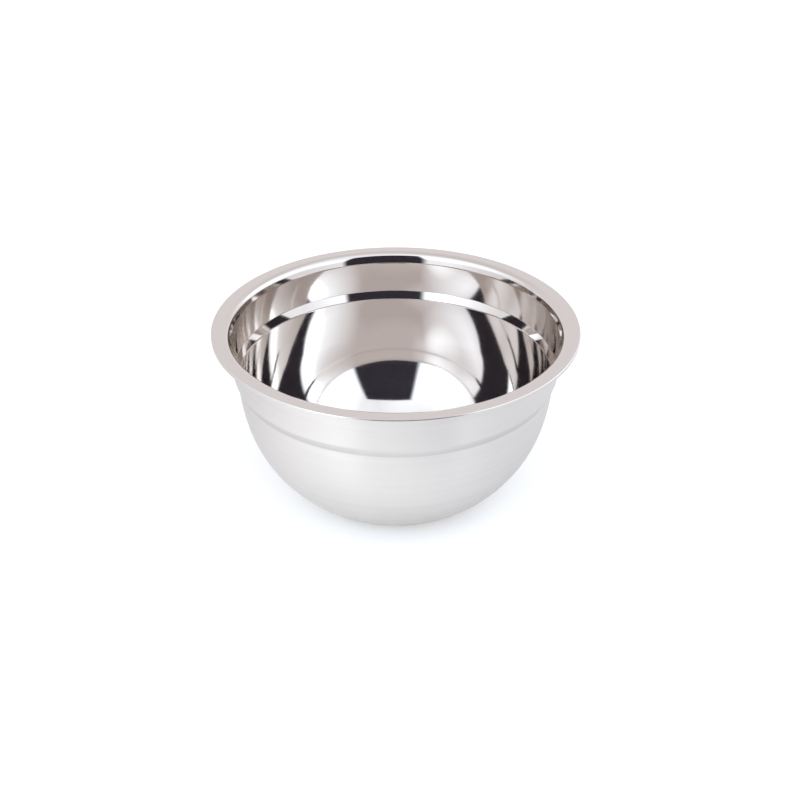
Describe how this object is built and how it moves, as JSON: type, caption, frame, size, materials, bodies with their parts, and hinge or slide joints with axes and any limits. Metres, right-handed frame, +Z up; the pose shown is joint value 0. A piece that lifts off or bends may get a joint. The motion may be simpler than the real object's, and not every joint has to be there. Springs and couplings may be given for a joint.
{
  "type": "mixing bowl",
  "caption": "Deep round mixing bowl drawn from one sheet of stainless steel, with a flat lip, a stepped upper band and a flat base.",
  "frame": {"origin": "centre of the flat base, on the surface that the bowl stands on", "axes": "+Z up along the bowl's axis, out of its mouth; X and Y are free, because the bowl is round"},
  "size_m": [0.2, 0.2, 0.1],
  "materials": {
    "stainless_steel": "polished bright inside and on the lip, fine satin polish running round the outside"
  },
  "bodies": {
    "root": {"bowl_shell": "stainless_steel"}
  },
  "joints": []
}
